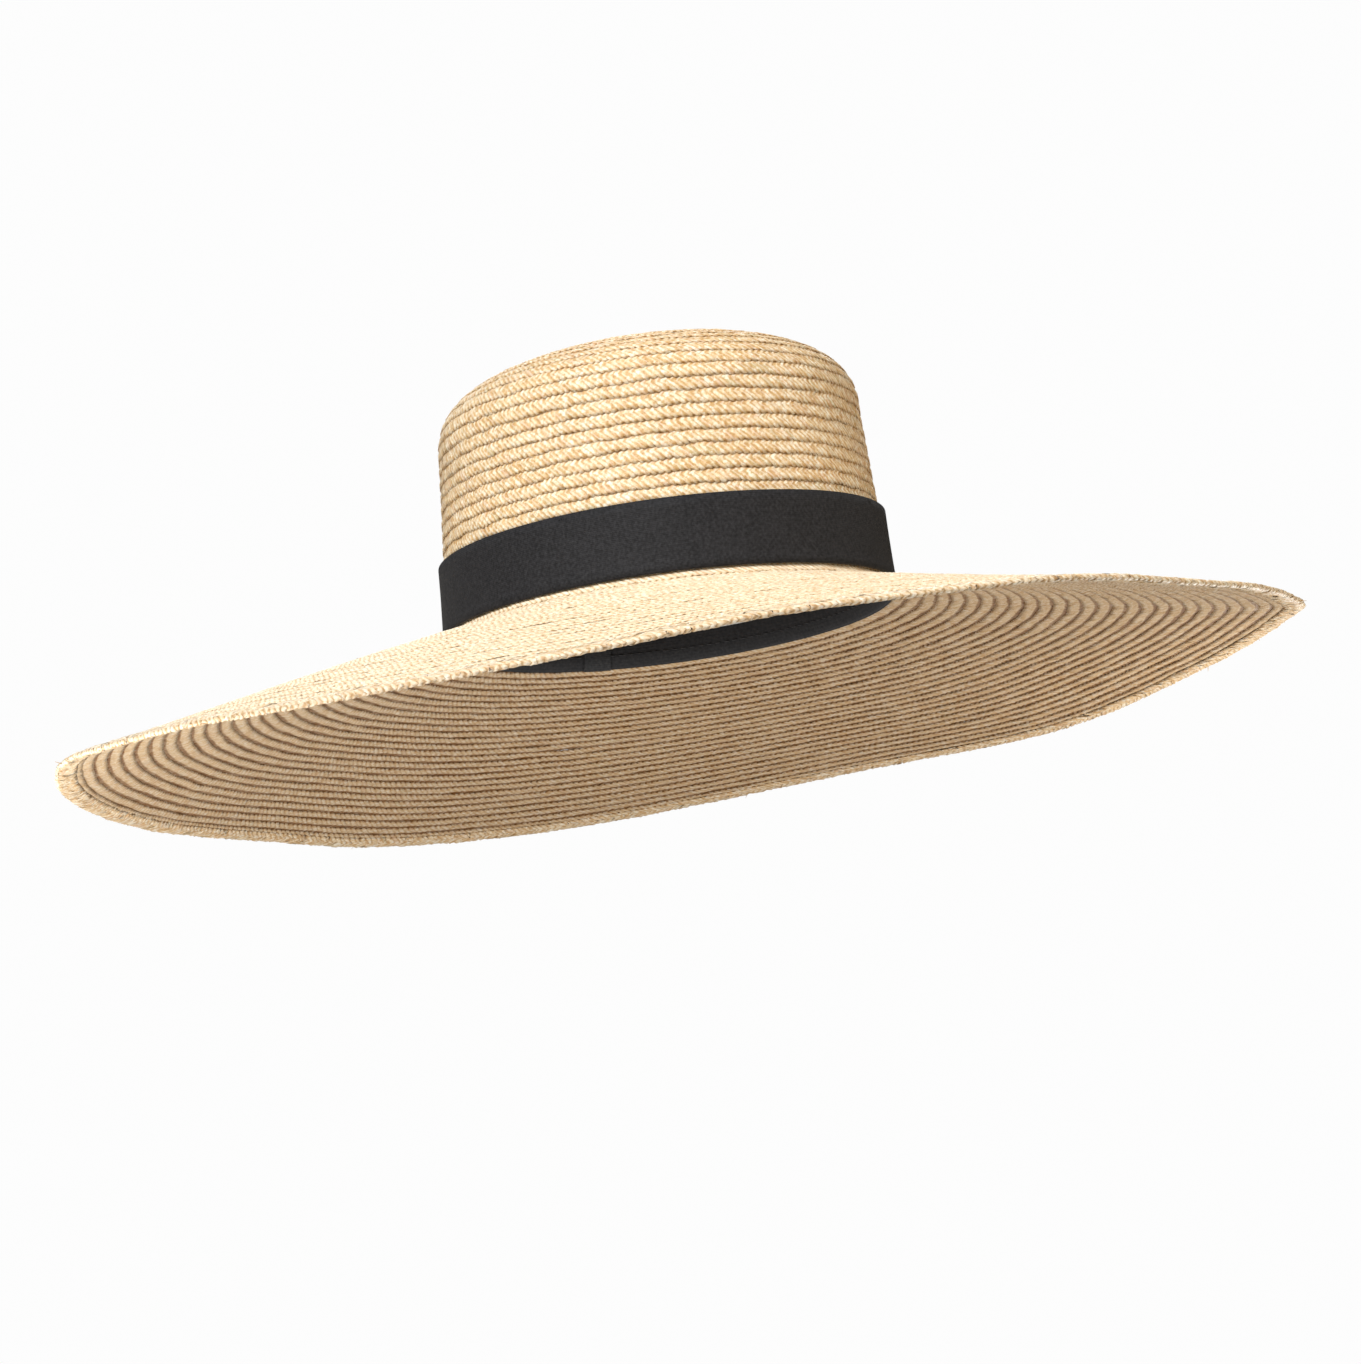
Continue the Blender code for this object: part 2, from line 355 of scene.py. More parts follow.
def makeSurfaceGroup():
    # from a length along the meridian, a turn round the hat and a lift off the surface, to a point
    inputs = {"Guide": "Object", "Length": 0.0, "Turn": 0.0, "Lift": 0.0}
    outputs = {"Place": "Vector", "Reach": "Float"}
    bench, given, result = newGroup("hatSurface", inputs, outputs)
    guide = bench.add("GeometryNodeObjectInfo", {}, {"Object": given["Guide"]}, "Geometry")
    settings = {"mode": "LENGTH", "use_all_curves": True, "data_type": "FLOAT"}
    values = {"Curves": guide, "Length": given["Length"].most(0.0)}
    sample = bench.add("GeometryNodeSampleCurve", settings, values, "Position")
    radius, _, height = bench.parts(sample)
    along, _, fall = bench.parts(sample.out("Tangent"))
    radius = (radius - fall * given["Lift"]).most(0.0002)
    height = height + along * given["Lift"]
    angle = given["Turn"] * (2 * math.pi)
    # the droop of the brim grows from nothing at the crown
    share = ((radius - hat["halfWidth"]) / hat["brimWidth"]).most(0.0)
    wave = None
    for count, rise, start in brimWaves:
        term = (angle * count + start).cosine() * rise
        wave = term if wave is None else wave + term
    for centre, rise, sharpness in brimDents:
        wave = wave + ((angle - centre).cosine().most(0.0) ** sharpness) * rise
    height = height + wave * share * share
    early = (radius / hat["ovalStart"]).least(1.0) * (math.pi / 2)
    extra = early.sine() * hat["lengthExtra"]
    x = radius * angle.cosine()
    y = (radius + extra) * angle.sine()
    tipShare = ((height - hat["wallTop"]) / (hat["top"] - hat["wallTop"])).most(0.0)
    height = height - tipShare * x * (hat["lean"] / hat["halfWidth"])
    return finishGroup(bench, result, Place=bench.vector(x, y, height), Reach=radius)


surfaceGroup = makeSurfaceGroup()


def onSurface(bench, guide, length, turn, lift=0.0):
    values = {"Guide": guide, "Length": length, "Turn": turn, "Lift": lift}
    return bench.add("GeometryNodeGroup", {"node_tree": surfaceGroup}, values)


def randomBetween(bench, low, high, seed):
    values = {"Min": low, "Max": high, "Seed": seed}
    kind = "FLOAT_VECTOR" if isinstance(low, tuple) else "FLOAT"
    return bench.add("FunctionNodeRandomValue", {"data_type": kind}, values)


def named(bench, name, kind="FLOAT"):
    settings = {"data_type": kind}
    return bench.add("GeometryNodeInputNamedAttribute", settings, {"Name": name}, "Attribute")


def store(bench, geometry, name, value, kind="FLOAT"):
    settings = {"data_type": kind, "domain": "POINT"}
    values = {"Geometry": geometry, "Name": name, "Value": value}
    return bench.add("GeometryNodeStoreNamedAttribute", settings, values)


def plainLine(bench, count):
    ends = {"Start": (0, 0, 0), "End": (0, 0, 1)}
    line = bench.add("GeometryNodeCurvePrimitiveLine", {"mode": "POINTS"}, ends)
    values = {"Curve": line, "Count": count}
    return bench.add("GeometryNodeResampleCurve", {"mode": "COUNT"}, values)


def evenPoints(bench, line, gap):
    values = {"Curve": line, "Length": gap}
    return bench.add("GeometryNodeResampleCurve", {"mode": "LENGTH"}, values)


def moveTo(bench, geometry, place):
    values = {"Geometry": geometry, "Position": place}
    return bench.add("GeometryNodeSetPosition", {}, values)


def realiseAndPaint(bench, geometry, material):
    geometry = bench.add("GeometryNodeRealizeInstances", {}, {"Geometry": geometry})
    values = {"Geometry": geometry, "Material": material}
    return bench.add("GeometryNodeSetMaterial", {}, values)


strip = {
    "pointsPerTurn": 240.0,
    "swayScale": 22.0,  # how quickly a course wanders from its line
    "swayDrift": 3.1,  # and how unlike the next course it does so
    "stitchStray": 3.5,  # how far a straw may lean along the course, in jitters
    "thinEnd": 0.70,  # width of the first end, as a share of the plait
}


def makeStripTree():
    # lays one long strip round the hat, course by course, with a section that swells at every stitch
    inputs = {
        "Geometry": "Geometry",
        "Guide": "Object",
        "Valley": "Object",
        "Ridge": "Object",
        "First Length": 0.0,
        "Pitch": 0.0,
        "First Turn": 0.0,
        "Last Turn": 1.0,
        "Stitch": 0.0026,
        "Cuts": 3.0,
        "Lift": 0.0,
        "Lift per Turn": 0.0,
        "Sway": 0.0,
        "Heave": 0.0,
        "Jitter": 0.0,
        "Taper Turns": 0.0,
        "Seed": 1,
        "Material": "Material",
    }
    bench, given, result = newGroup("layStrip", inputs, {"Geometry": "Geometry"})

    # the line that the strip follows, cut at even gaps
    turns = given["Last Turn"] - given["First Turn"]
    line = plainLine(bench, (turns.size() * strip["pointsPerTurn"]).most(12.0))
    factor = bench.add("GeometryNodeSplineParameter", {}, {}, "Factor")
    line = store(bench, line, "turn", given["First Turn"] + factor * turns)
    turn = named(bench, "turn")
    length = given["First Length"] + given["Pitch"] * (turn - given["First Turn"])
    spot = onSurface(bench, given["Guide"], length, turn)
    line = store(bench, line, "reach", spot.out("Reach"))
    line = moveTo(bench, line, spot)
    line = evenPoints(bench, line, given["Stitch"] / given["Cuts"])
    line = store(bench, line, "cut", bench.add("GeometryNodeInputIndex"))
    values = {
        "Vector": bench.add("GeometryNodeInputPosition"),
        "W": turn * strip["swayDrift"],
        "Scale": strip["swayScale"],
        "Detail": 2.0,
    }
    wander = bench.add("ShaderNodeTexNoise", {"noise_dimensions": "4D"}, values)
    line = store(bench, line, "sway", wander - 0.5)
    line = store(bench, line, "heave", bench.parts(wander.out("Color"))[1] - 0.5)

    # the section carries both of its outlines, how far a stitch leans and which face it is on
    valley = bench.add("GeometryNodeObjectInfo", {}, {"Object": given["Valley"]}, "Geometry")
    ridge = bench.add("GeometryNodeObjectInfo", {}, {"Object": given["Ridge"]}, "Geometry")
    place = bench.add("GeometryNodeInputPosition")
    settings = {"data_type": "FLOAT_VECTOR", "domain": "POINT"}
    index = bench.add("GeometryNodeInputIndex")
    values = {"Geometry": ridge, "Value": place, "Index": index}
    high = bench.add("GeometryNodeSampleIndex", settings, values)
    section = store(bench, valley, "lowPlace", place, "FLOAT_VECTOR")
    section = store(bench, section, "highPlace", high, "FLOAT_VECTOR")
    section = store(bench, section, "shift", bench.add("GeometryNodeInputCurveTilt"))
    side = bench.add("GeometryNodeInputRadius") * 2.0 - 1.0
    section = store(bench, section, "side", side)
    section = bench.add("GeometryNodeSetCurveRadius", {}, {"Curve": section, "Radius": 1.0})
    values = {"Curve": line, "Profile Curve": section, "Fill Caps": True}
    mesh = bench.add("GeometryNodeCurveToMesh", {}, values)

    # every point then goes to its own place on the hat
    cut = named(bench, "cut")
    phase = cut.maths("FLOORED_MODULO", given["Cuts"])
    swell = phase.over(0.5) * (1.3 - phase * 0.3)
    low = named(bench, "lowPlace", "FLOAT_VECTOR")
    high = named(bench, "highPlace", "FLOAT_VECTOR")
    values = {"Factor": swell, "A": low, "B": high}
    mixed = bench.add("ShaderNodeMix", {"data_type": "VECTOR"}, values, "Result")
    across, rise, _ = bench.parts(mixed)
    stray = randomBetween(bench, (-1, -1, -1), (1, 1, 1), given["Seed"])
    strayAcross, strayUp, strayAlong = bench.parts(stray)
    jitter = given["Jitter"]
    turn = named(bench, "turn")
    turned = turn - given["First Turn"]
    reach = named(bench, "reach").most(0.003)
    shift = named(bench, "shift") + strayAlong * jitter * strip["stitchStray"]
    plain = given["Taper Turns"].under(0.0005)
    narrow = (turned / given["Taper Turns"].most(0.001) + plain).least(1.0)
    across = across * (narrow * (1 - strip["thinEnd"]) + strip["thinEnd"])
    newTurn = turn + shift * narrow / (reach * (2 * math.pi))
    length = given["First Length"] + given["Pitch"] * (newTurn - given["First Turn"])
    length = length + across + named(bench, "sway") * given["Sway"] + strayAcross * jitter
    lift = given["Lift"] + given["Lift per Turn"] * turned + rise
    lift = lift + strayUp * jitter + named(bench, "heave") * given["Heave"]
    mesh = moveTo(bench, mesh, onSurface(bench, given["Guide"], length, newTurn, lift))
    mesh = store(bench, mesh, "run", cut / given["Cuts"])
    mesh = store(bench, mesh, "across", across)
    return finishGroup(bench, result, Geometry=realiseAndPaint(bench, mesh, given["Material"]))


stripTree = makeStripTree()


def runTree(name, tree, settings):
    # a modifier on an empty mesh, then the result as a plain mesh at the origin
    helper = bpy.data.objects.new(name + "Helper", bpy.data.meshes.new(name + "Helper"))
    bpy.context.scene.collection.objects.link(helper)
    modifier = helper.modifiers.new("lay", "NODES")
    modifier.node_group = tree
    for socket in tree.interface.items_tree:
        isInput = socket.item_type == "SOCKET" and socket.in_out == "INPUT"
        if isInput and socket.name in settings:
            modifier[socket.identifier] = settings[socket.name]
    bpy.context.view_layer.update()
    shaped = helper.evaluated_get(bpy.context.evaluated_depsgraph_get())
    mesh = bpy.data.meshes.new_from_object(shaped)
    mesh.name = name
    bpy.data.objects.remove(helper, do_unlink=True)
    return mesh


replaced = []


def addPiece(mesh, node):
    # a finished mesh becomes a piece of the hat, and the first one laid for a node takes its place
    piece = bpy.data.objects.new(mesh.name, mesh)
    bpy.context.scene.collection.objects.link(piece)
    for polygon in mesh.polygons:
        polygon.use_smooth = True
    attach(piece, "root")
    if node not in replaced:
        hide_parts(node)
        replaced.append(node)
    print(piece.name, len(mesh.vertices), "points", len(mesh.polygons), "faces")
    return piece


# cross-sections

def plaitSection():
    # the flat plait cut across, as two outlines: where two straws meet and where one crosses on top
    valley, ridge, shifts, sides = [], [], [], []
    width = plait["width"]
    shares = (0.0, 0.25, 0.5, 0.75, 1.0)
    for side in (1, -1):
        for share in shares if side == 1 else reversed(shares):
            bulge = 1 - (2 * share - 1) ** 2
            half = plait["edgeHalf"] + (plait["middleHalf"] - plait["edgeHalf"]) * bulge
            slope = plait["tilt"] * (share - 0.5)
            dome = abs(math.sin(2 * math.pi * share))
            if share == (1 if side == 1 else 0):
                dome = plait["edgeDome"]
            reach = plait["scallop"] * (1 if share == 1 else -1 if share == 0 else 0)
            across = (share - 0.5) * width
            valley.append((across, slope + side * half, 0))
            ridge.append((across + reach, slope + side * (half + plait["relief"] * dome), 0))
            shifts.append(abs(share - 0.5) * width)
            sides.append(side)
    return (
        lineObject("plaitValley", valley, True, shifts, sides),
        lineObject("plaitRidge", ridge, True, shifts, sides),
    )


def mixedSection(name, outline):
    # outline rows: across, height, swell across, swell height, stitch shift, all in millimetres
    valley = [(a / 1000, h / 1000, 0) for a, h, da, dh, shift in outline]
    ridge = [((a + da) / 1000, (h + dh) / 1000, 0) for a, h, da, dh, shift in outline]
    shifts = [shift / 1000 for a, h, da, dh, shift in outline]
    sides = [1 if h > 0 else -1 if h < 0 else 0 for a, h, da, dh, shift in outline]
    return (
        lineObject(name + "Valley", valley, True, shifts, sides),
        lineObject(name + "Ridge", ridge, True, shifts, sides),
    )


def bandSection(name, look, columns=8):
    # a woven band cut across: its ribs stand out by ribSwell and its top edge stands off by flare,
    # and its two edges are thicker by selvedge, all in millimetres, only its height in metres
    rows = []
    for side in (1, -1):
        order = range(columns + 1) if side == 1 else range(columns, -1, -1)
        for column in order:
            atEdge = column in (0, columns)
            share = column / columns
            half = look["thick"] / 2 + (look.get("selvedge", 0) if atEdge else 0)
            lean = look.get("flare", 0) * (1 - share) ** 2
            rib = side * look["ribSwell"] * (0.4 if atEdge else 1)
            rows.append(((share - 0.5) * look["height"] * 1000, lean + side * half, 0, rib, 0))
    return mixedSection(name, rows)


# finishes

def newMaterial(name):
    material = bpy.data.materials.new(name)
    material.use_nodes = True
    material.node_tree.nodes.clear()
    bench = Bench(material.node_tree)
    return material, bench


def finishMaterial(bench, shader):
    bench.add("ShaderNodeOutputMaterial", {}, {"Surface": shader})


def attribute(bench, name):
    return bench.add("ShaderNodeAttribute", {"attribute_name": name}, {}, "Fac")


straw = {
    "pale": (0.86, 0.68, 0.42, 1),
    "cream": (0.76, 0.55, 0.30, 1),
    "gold": (0.62, 0.39, 0.16, 1),
    "pink": (0.74, 0.49, 0.30, 1),
    "green": (0.62, 0.53, 0.30, 1),
    "amber": (0.50, 0.26, 0.08, 1),
    # the next two are painted shade for the creases between straws, outside and inside
    "creaseShade": (0.58, 0.35, 0.135, 1),
    "edge": (0.40, 0.20, 0.055, 1),
    # the next three are painted shade: deep and step for the shadow under a neighbour, inside and outside,
    # and shaded for the whole inside face
    "deep": (0.140, 0.052, 0.006, 1),
    "shaded": (0.300, 0.190, 0.098, 1),
    "step": (0.230, 0.098, 0.020, 1),
    # pale flecks take this colour, and so do the painted highlight on each straw and the painted light on
    # the outside face
    "bleachedAndLit": (0.93, 0.86, 0.71, 1),
    "roughness": 0.40,
    "patchScale": 34.0,  # weathered patches, a few centimetres wide
    "speckScale": 520.0,  # flecks, a millimetre or two
    "fibreAlong": 8.0,
    "fibreAcross": 240.0,
    "outerLine": 0.00018,  # how much of the painted shadow under a neighbour shows outside, and inside
    "innerLine": 0.00190,
    "lineFade": 0.0005,
    "edgeLine": 0.0031,  # from the middle of a course to the loops along its edge
    "edgeFade": 0.0004,
}


def makeStraw(
    name,
    covered,  # from the middle of a course to where its neighbour lies on it
    outerDeep=1.0,  # how dark the painted shadow in the gaps between courses is outside, and inside
    innerDeep=1.0,
    middle=0.0,  # where the middle of the course lies across the strip
    outerPaintedLight=0.0,  # painted light: how much paler the outside face is painted
    innerShade=0.0,  # painted shade: how much darker and browner the inside face is painted
    outerSpare=0.0,  # how much earlier the neighbour begins outside
):
    material, bench = newMaterial(name)
    run = attribute(bench, "run")
    across = attribute(bench, "across") - middle
    # the whole thickness of a free edge counts as the face that it shows on
    outer = (attribute(bench, "side") + across.over(0.0) * 1.6 - 0.8).over(0.0)
    place = bench.add("ShaderNodeTexCoord", {}, {}, "Object")
    patch = bench.noise(place, straw["patchScale"], 4.0, 0.65)
    speck = bench.noise(place, straw["speckScale"], 2.0, 0.7)

    # every splint has a colour of its own
    splint = bench.vector(run.floor(), across.over(0.0), outer)
    dice = {"noise_dimensions": "3D"}
    chance = bench.add("ShaderNodeTexWhiteNoise", dice, {"Vector": splint}, "Value")
    stops = [
        (0.0, straw["pale"]),
        (0.30, straw["cream"]),
        (0.60, straw["pale"]),
        (0.78, straw["pink"]),
        (0.88, straw["green"]),
        (0.96, straw["cream"]),
        (1.0, straw["gold"]),
    ]
    colour = bench.add("ShaderNodeValToRGB", {"stops": stops}, {"Fac": chance})
    # fibres run along each straw, which crosses the course on the slant
    fibreWay = bench.vector(run * straw["fibreAlong"], across * straw["fibreAcross"], chance * 9.0)
    fibre = bench.noise(fibreWay, 1.0, 3.0, 0.6)
    colour = bench.blend((fibre - 0.45).most(0.0) * 2.4, colour, straw["gold"])
    colour = bench.blend((patch - 0.55).most(0.0) * 2.2, colour, straw["gold"])
    brownFlecks = (speck - 0.51).most(0.0) * (6.5 - patch * 2.0)
    colour = bench.blend(brownFlecks, colour, straw["amber"])
    paleFlecks = ((0.48 - speck).most(0.0) * (11.0 - outer * 3.0)).least(0.9)
    colour = bench.blend(paleFlecks, colour, straw["bleachedAndLit"])
    # painted light: the outside face is painted paler than the inside
    if outerPaintedLight:
        colour = bench.blend(outer * outerPaintedLight, colour, straw["bleachedAndLit"])

    # painted shade in the gap between two straws, and a painted highlight along the middle of each
    gap = (run.fraction() - 0.5).size() * 2.0
    crease = ((gap - 0.50) * 2.0).held()
    # painted highlight: the middle of each straw is painted paler
    back = ((0.50 - gap) * 2.0).most(0.0) * (speck + 0.2)
    colour = bench.blend(back * (outer * 0.25 + 0.45), colour, straw["bleachedAndLit"])
    # painted shade: the crease between two straws is painted darker, browner inside than outside
    creaseShade = bench.blend(outer, straw["edge"], straw["creaseShade"])
    colour = bench.blend(crease * (0.85 - outer * 0.15), colour, creaseShade)
    if innerShade:
        # painted shade: the inside face is painted towards the shaded brown
        colour = bench.blend((1.0 - outer) * innerShade, colour, straw["shaded"])

    # painted shadow where the neighbour lies on top, and between the loops along the free edge
    facing = across * (outer * 2.0 - 1.0)
    shows = outer * (straw["outerLine"] - straw["innerLine"]) + straw["innerLine"]
    tuckShadow = facing * -1.0 - covered + outer * outerSpare + shows
    tuckShadow = (tuckShadow / straw["lineFade"]).held()
    loopShadow = ((facing - straw["edgeLine"]) / straw["edgeFade"]).held()
    strength = outer * (outerDeep - innerDeep) + innerDeep
    # patches and flecks break up the painted shadow lines
    shadowPatches = ((patch - 0.38) * 4.0).held()
    ragged = (shadowPatches * 0.35 + 0.65) * (crease * 0.40 + 0.65)
    ragged = (ragged + (speck - 0.5) * 0.9 + 0.25 - outer * 0.15).least(1.0).most(0.1)
    # the painted shadow colour, darker inside than outside
    dark = bench.blend(outer, straw["deep"], straw["step"])
    colour = bench.blend(loopShadow * ragged * strength * (crease * 0.6 + 0.3), colour, dark)
    colour = bench.blend(tuckShadow * ragged * strength, colour, dark)

    height = fibre + speck * 0.5 - crease * 0.5
    values = {"Strength": 0.45, "Distance": 0.0004, "Height": height}
    sockets = {
        "Base Color": colour,
        "Roughness": fibre * 0.25 + (straw["roughness"] - 0.1),
        "Normal": bench.add("ShaderNodeBump", {}, values),
        "Specular IOR Level": 0.32,
        "Coat Weight": 0.05,
        "Coat Roughness": 0.25,
    }
    finishMaterial(bench, bench.add("ShaderNodeBsdfPrincipled", {}, sockets))
    return material


def makeWeave(name, dark, light, roughness, threads):
    # threads is how many of them there are across a metre of the cloth
    material, bench = newMaterial(name)
    run = attribute(bench, "run")
    across = attribute(bench, "across")
    cloth = bench.noise(bench.vector(run * 3.0, across * threads, 0.0), 1.0, 2.0)
    weft = (across * (threads * 6.283)).sine() * 0.5 + 0.5
    place = bench.add("ShaderNodeTexCoord", {}, {}, "Object")
    patch = bench.noise(place, 38.0, 3.0)
    grain = bench.noise(place, 900.0, 1.0)
    mix = cloth * 0.3 + patch * 0.4 + weft * 0.1 + (grain - 0.5) * 1.8 + 0.05
    height = cloth * 0.6 + weft * 0.4 + grain * 0.5
    values = {"Strength": 0.5, "Distance": 0.0003, "Height": height}
    sockets = {
        "Base Color": bench.blend(mix.held(), dark, light),
        "Roughness": cloth * 0.15 + roughness,
        "Normal": bench.add("ShaderNodeBump", {}, values),
        "Specular IOR Level": 0.22,
        "Sheen Weight": 0.04,
        "Sheen Roughness": 0.4,
    }
    finishMaterial(bench, bench.add("ShaderNodeBsdfPrincipled", {}, sockets))
    return material


def makeMetal(name, colour):
    material, bench = newMaterial(name)
    place = bench.add("ShaderNodeTexCoord", {}, {}, "Object")
    drawn = bench.noise(place, 900.0, 2.0)
    sockets = {"Base Color": colour, "Metallic": 1.0, "Roughness": drawn * 0.2 + 0.25}
    finishMaterial(bench, bench.add("ShaderNodeBsdfPrincipled", {}, sockets))
    return material


plait = {
    "width": 0.0074,
    "stitch": 0.0026,
    "edgeHalf": 0.00020,
    "middleHalf": 0.00042,
    "tilt": 0.0009,
    "relief": 0.00028,
    "scallop": 0.00040,
    "edgeDome": 0.6,  # the edge that lies on top stays full
    "sway": 0.0022,
    "heave": 0.0007,
    "jitter": 0.00012,
    "firstLength": 0.0026,
    "crownTurns": 31,
    "brimTurns": 28,
    "crownInset": 0.0052,  # how far short of the foot the crown's own courses end
    "edgeInset": 0.0026,  # how far the last course stops short of the rim
    "start": 0.25,  # the centre back, as a share of a turn
}
crownEnd = lengthAt["foot"] - plait["crownInset"]
brimEnd = lengthAt["rim"] - plait["edgeInset"] - plait["width"] / 2
plait["crownPitch"] = (crownEnd - plait["firstLength"]) / plait["crownTurns"]
plait["brimPitch"] = (brimEnd - crownEnd) / plait["brimTurns"]

crownCovered = plait["crownPitch"] - plait["width"] / 2
brimCovered = plait["brimPitch"] - plait["width"] / 2
crownStraw = makeStraw("crownStraw", crownCovered, outerDeep=0.92)
brimStraw = makeStraw("brimStraw", brimCovered, outerDeep=0.10, outerPaintedLight=0.40, innerShade=0.62)
rimStraw = makeStraw(
    "rimStraw",
    0.0060,
    outerDeep=0.60,
    innerDeep=0.8,
    middle=-0.0042,
    outerPaintedLight=0.25,
    innerShade=0.40,
    outerSpare=0.0025,
)

# cloth and thread: dark threads, light threads, roughness, threads to the metre
cloths = {
    "ribbonCloth": ((0.0075, 0.0075, 0.0088, 1), (0.028, 0.028, 0.0315, 1), 0.66, 1400.0),
    "bandCloth": ((0.010, 0.010, 0.011, 1), (0.024, 0.023, 0.024, 1), 0.8, 900.0),
    "tapeCloth": ((0.014, 0.014, 0.015, 1), (0.030, 0.030, 0.031, 1), 0.8, 1500.0),
    "labelCloth": ((0.50, 0.48, 0.44, 1), (0.68, 0.66, 0.61, 1), 0.75, 2200.0),
    "threadBlack": ((0.014, 0.014, 0.015, 1), (0.035, 0.035, 0.036, 1), 0.6, 3000.0),
}
cloths = {name: makeWeave(name, *look) for name, look in cloths.items()}
wireSteel = makeMetal("wireSteel", (0.42, 0.42, 0.44, 1))
print("finishes made")


def lay(name, node, settings, section, material, seed=1):
    values = {"Guide": meridianGuide, "Valley": section[0], "Ridge": section[1]}
    values = {**values, "Material": material, "Seed": seed, **settings}
    return addPiece(runTree(name, stripTree, values), node)


def layBand(name, node, look, settings, cloth):
    piece = lay(name, node, settings, bandSection(name, look), cloths[cloth])


# the straw plait, one spiral from the middle of the crown to the rim

plaitCut = plaitSection()


def layPlait(name, node, firstTurn, lastTurn, material, seed):
    if firstTurn < plait["crownTurns"]:
        pitch = plait["crownPitch"]
        start = plait["firstLength"] + pitch * firstTurn
    else:
        pitch = plait["brimPitch"]
        start = crownEnd + pitch * (firstTurn - plait["crownTurns"])
    if firstTurn >= plait["crownTurns"] + plait["brimTurns"]:
        pitch = 0.0  # its end runs on level, tucked into the rim
    settings = {
        "First Length": start,
        "Pitch": pitch,
        "First Turn": firstTurn + plait["start"],
        "Last Turn": lastTurn + plait["start"],
        "Stitch": plait["stitch"],
        "Cuts": 3.0,
        "Sway": plait["sway"],
        "Heave": plait["heave"],
        "Jitter": plait["jitter"],
        "Taper Turns": 1.0 if firstTurn == 0 else 0.0,
    }
    lay(name, node, settings, plaitCut, material, seed)


# name, node, first turn, last turn, finish, seed
plaitPieces = [
    ("tipPlait", "crown_tip", 0, 17, crownStraw, 1),
    ("sidePlait", "crown_side", 17, 31, crownStraw, 2),
    ("brimPlaitInner", "brim", 31, 41, brimStraw, 3),
    ("brimPlaitMiddle", "brim", 41, 48, brimStraw, 4),
    ("brimPlaitOuter", "brim", 48, 54, brimStraw, 5),
    ("brimPlaitLast", "brim", 54, 59, brimStraw, 6),
    ("brimPlaitEnd", "brim", 59, 59.6, brimStraw, 8),
]
for row in plaitPieces:
    layPlait(*row)

# the first end of the plait, coiled flat under the middle of the crown

knot = {"reach": 0.0046, "along": 0.0076, "thick": 0.0007, "sink": 0.0005, "ridges": 7, "relief": 0.16}


def addKnot():
    mesh = bpy.data.meshes.new("crownKnot")
    shape = bmesh.new()
    bmesh.ops.create_uvsphere(shape, u_segments=48, v_segments=12, radius=1.0)
    middle = hat["top"] - hat["wallMiddle"] - knot["sink"]
    for vert in shape.verts:
        x, y, z = vert.co
        swirl = knot["ridges"] * math.atan2(y, x) + 9 * math.hypot(x, y)
        ridge = 1 + knot["relief"] * math.cos(swirl)
        height = middle + z * knot["thick"] * ridge
        vert.co = Vector((x * knot["reach"], y * knot["along"], height))
    shape.to_mesh(mesh)
    shape.free()
    side = mesh.attributes.new("side", "FLOAT", "POINT")
    run = mesh.attributes.new("run", "FLOAT", "POINT")
    for index, vert in enumerate(mesh.vertices):
        x, y, _ = vert.co
        side.data[index].value = 1
        run.data[index].value = math.atan2(y, x) * 1.3 + math.hypot(x, y) * 500
    mesh.materials.append(crownStraw)
    addPiece(mesh, "crown_tip")


addKnot()

# the last course, folded over the rim, and the wire inside the fold

rimFold = [
    (-8.0, 0.95, -0.2, 0.10, 3.8),
    (-6.1, 1.05, 0, 0.30, 1.9),
    (-4.2, 1.10, 0, 0.04, 0.0),
    (-2.3, 1.00, 0, 0.30, 1.9),
    (-0.7, 0.75, 0.15, 0.25, 3.5),
    (-0.2, 0.0, 0.45, 0, 4.4),
    (-0.7, -0.75, 0.15, -0.25, 3.5),
    (-2.3, -1.00, 0, -0.30, 1.9),
    (-4.2, -1.10, 0, -0.04, 0.0),
    (-6.1, -1.05, 0, -0.30, 1.9),
    (-8.0, -0.95, -0.2, -0.10, 3.8),
    (-8.0, -0.60, 0, 0, 3.8),
    (-2.2, -0.60, 0, 0, 1.9),
    (-1.3, 0.0, 0, 0, 3.2),
    (-2.2, 0.60, 0, 0, 1.9),
    (-8.0, 0.60, 0, 0, 3.8),
]
rimRound = {"First Length": lengthAt["rim"], "First Turn": plait["start"], "Last Turn": 1 + plait["start"]}
rimSettings = {
    **rimRound,
    "Stitch": plait["stitch"],
    "Cuts": 3.0,
    "Sway": 0.0020,
    "Heave": 0.0008,
    "Jitter": 0.00024,
}
rimCut = mixedSection("rim", rimFold)
lay("rimPlait", "brim_edge", rimSettings, rimCut, rimStraw, 7)

wire = {"radius": 0.5, "inset": -1.95, "corners": 8, "step": 0.006}  # radius and inset in millimetres
wireRing = []
for corner in range(wire["corners"]):
    turn = -corner * 2 * math.pi / wire["corners"]
    across = wire["inset"] + wire["radius"] * math.cos(turn)
    wireRing.append((across, wire["radius"] * math.sin(turn), 0, 0, 0))
wireSettings = {**rimRound, "Stitch": wire["step"], "Cuts": 1.0}
wireCut = mixedSection("wire", wireRing)
lay("rimWire", "brim_wire", wireSettings, wireCut, wireSteel)

# the ribbon and its keeper

